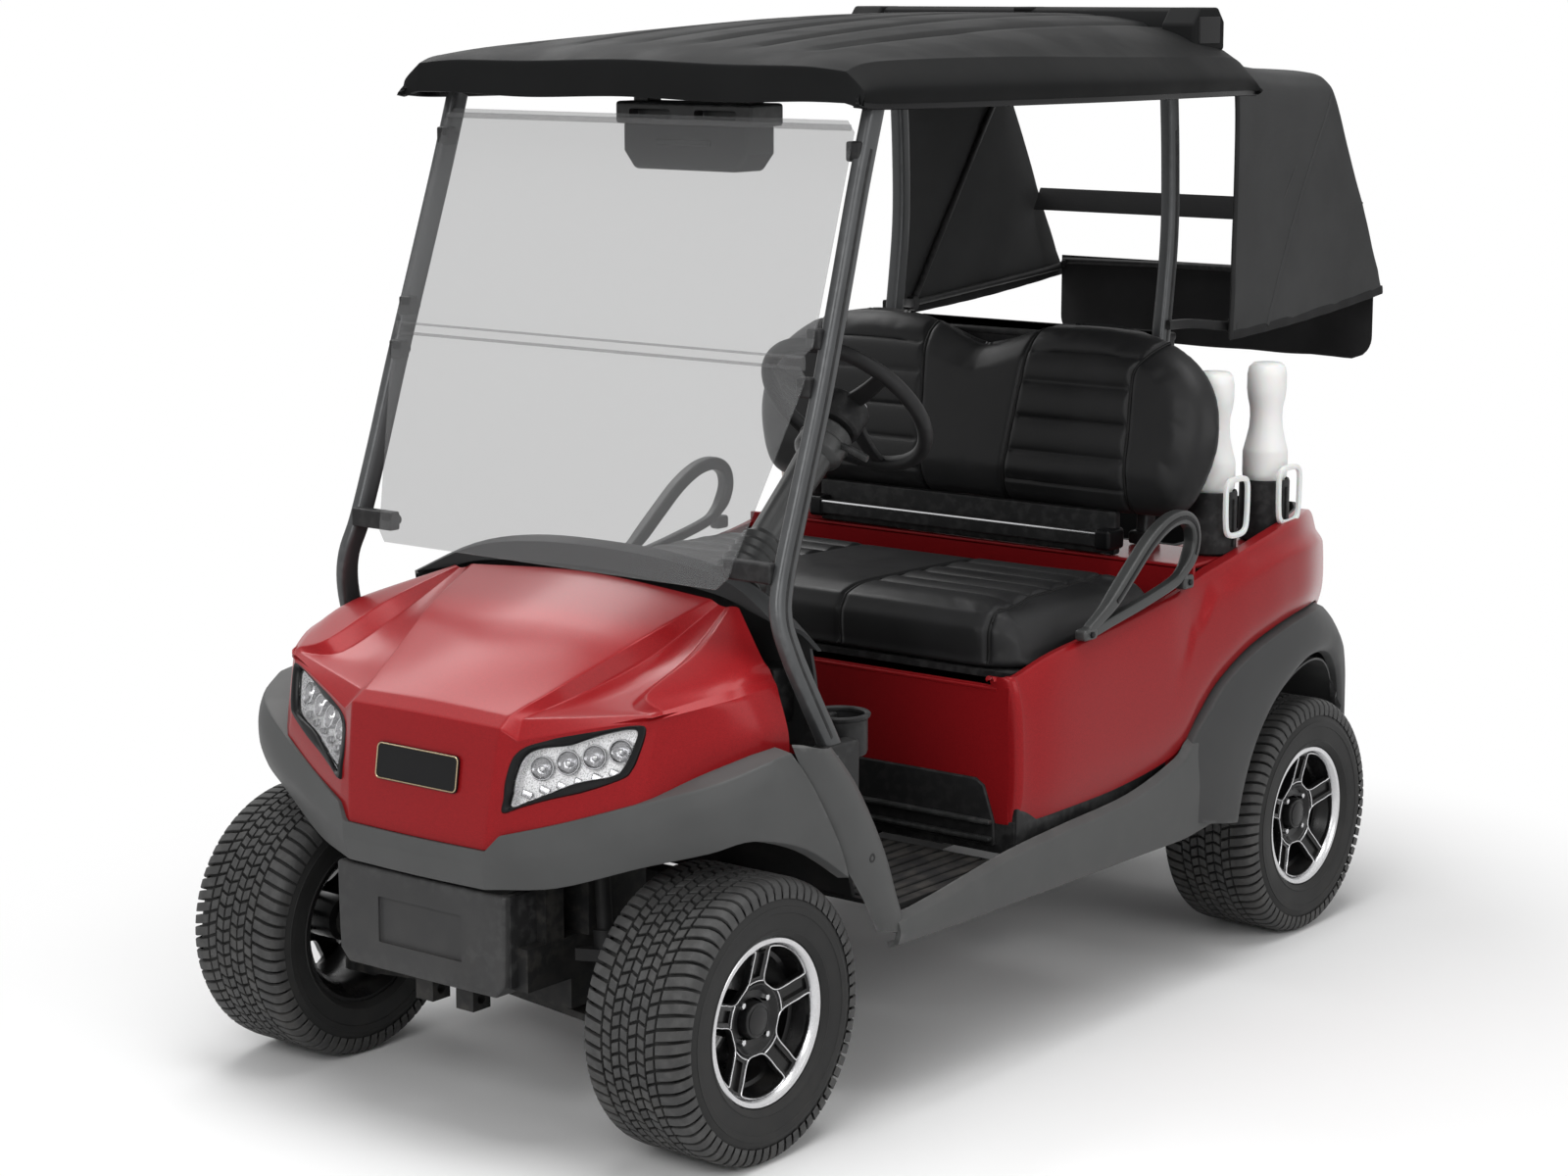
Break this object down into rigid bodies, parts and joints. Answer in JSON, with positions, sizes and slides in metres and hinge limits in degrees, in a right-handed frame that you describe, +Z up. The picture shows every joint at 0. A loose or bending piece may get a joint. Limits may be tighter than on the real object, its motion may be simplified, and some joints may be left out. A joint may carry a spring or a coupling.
{
  "type": "golf cart",
  "caption": "Two-seat golf cart with a moulded front cowl, fold-down windshield, canopy on struts, bench seat over a battery box, bag well with a fabric cover and steered front wheels.",
  "frame": {"origin": "on the ground under the middle of the overall box", "axes": "+X forward, +Y to the left, +Z up"},
  "size_m": [2.4411, 1.1686, 1.778],
  "materials": {
    "chassis": "satin black paint",
    "battery": "moulded",
    "grey_plastic": "fine grain",
    "black_plastic": "fine grain",
    "red_gloss": "metallic gloss",
    "lamp": "clear lens over bright housing",
    "dash_plastic": "fine grain",
    "floor_mat": "ribbed mat",
    "red_lens": "moulded lens",
    "black_vinyl": "grained, pleated",
    "strut_grey": "satin",
    "clear": "clear sheet",
    "canopy_black": "satin",
    "cover_fabric": "woven",
    "cover_dark": "woven",
    "white_plastic": "moulded",
    "steel": "turned",
    "rim_alloy": "black with machined faces",
    "tyre": "rubber"
  },
  "bodies": {
    "chassis": {"frame": "chassis", "front_suspension": "chassis", "rear_suspension": "chassis", "rear_axle": "chassis", "battery_pack": "battery", "front_bumper": "grey_plastic", "front_shield": "black_plastic", "front_cowl": "red_gloss", "headlamps": "lamp", "dash": "dash_plastic", "steering_column": "black_plastic", "pedals": "black_plastic", "floor_pan": "floor_mat", "sills": "grey_plastic", "seat_box_front": "red_gloss", "kick_plate": "grey_plastic", "body_sides": "red_gloss", "rear_deck": "red_gloss", "bag_well": "black_plastic", "rear_bumper": "grey_plastic", "tail_lamps": "red_lens", "seat_back": "black_vinyl", "seat_back_frame": "black_plastic", "armrests": "strut_grey", "front_struts": "strut_grey", "rear_struts": "strut_grey", "windshield_upper": "clear", "windshield_lower": "clear", "canopy": "canopy_black", "roof_console": "black_plastic", "bag_cover": "cover_fabric", "cover_curtain": "cover_dark", "cover_frame": "strut_grey", "sand_bottles": "white_plastic", "rear_basket": "black_plastic"},
    "seat": {"seat_cushion": "black_vinyl", "seat_board": "black_plastic"},
    "steering_wheel": {"steering_wheel": "black_plastic"},
    "steering_rack": {"steering_rack": "steel"},
    "knuckle_left": {"knuckle_left": "chassis"},
    "knuckle_right": {"knuckle_right": "chassis"},
    "wheel_fl": {"rim_fl": "rim_alloy", "tyre_fl": "tyre"},
    "wheel_fr": {"rim_fr": "rim_alloy", "tyre_fr": "tyre"},
    "wheel_rl": {"rim_rl": "rim_alloy", "tyre_rl": "tyre"},
    "wheel_rr": {"rim_rr": "rim_alloy", "tyre_rr": "tyre"}
  },
  "joints": [
    {"name": "steer_left", "type": "hinge", "parent": "chassis", "child": "knuckle_left", "pos_m": [0.975, 0.37, 0.2295], "axis": [0, 0, 1], "range_deg": [-30, 30]},
    {"name": "steer_right", "type": "hinge", "parent": "chassis", "child": "knuckle_right", "pos_m": [0.975, -0.37, 0.2295], "axis": [0, 0, 1], "range_deg": [-30, 30]},
    {"name": "rack_slide", "type": "slide", "parent": "chassis", "child": "steering_rack", "axis": [0, 1, 0], "range_m": [-0.042, 0.042]},
    {"name": "steering_wheel_turn", "type": "hinge", "parent": "chassis", "child": "steering_wheel", "pos_m": [0.425, 0.265, 1.122], "axis": [-0.7431, 0, 0.6691], "range_deg": [-270, 270]},
    {"name": "seat_lift", "type": "hinge", "parent": "chassis", "child": "seat", "pos_m": [-0.225, 0, 0.705], "axis": [0, -1, 0], "range_deg": [0, 55]},
    {"name": "wheel_fl_spin", "type": "hinge", "parent": "knuckle_left", "child": "wheel_fl", "pos_m": [0.975, 0.443, 0.2295], "axis": [0, 1, 0], "continuous": true},
    {"name": "wheel_fr_spin", "type": "hinge", "parent": "knuckle_right", "child": "wheel_fr", "pos_m": [0.975, -0.443, 0.2295], "axis": [0, 1, 0], "continuous": true},
    {"name": "wheel_rl_spin", "type": "hinge", "parent": "chassis", "child": "wheel_rl", "pos_m": [-0.689, 0.455, 0.2295], "axis": [0, 1, 0], "continuous": true},
    {"name": "wheel_rr_spin", "type": "hinge", "parent": "chassis", "child": "wheel_rr", "pos_m": [-0.689, -0.455, 0.2295], "axis": [0, 1, 0], "continuous": true}
  ],
  "couplings": [
    {"joint": "steer_right", "follows": "steer_left", "ratio": 1},
    {"joint": "rack_slide", "follows": "steer_left", "m_per_rad": -0.08},
    {"joint": "steering_wheel_turn", "follows": "steer_left", "ratio": 9}
  ]
}
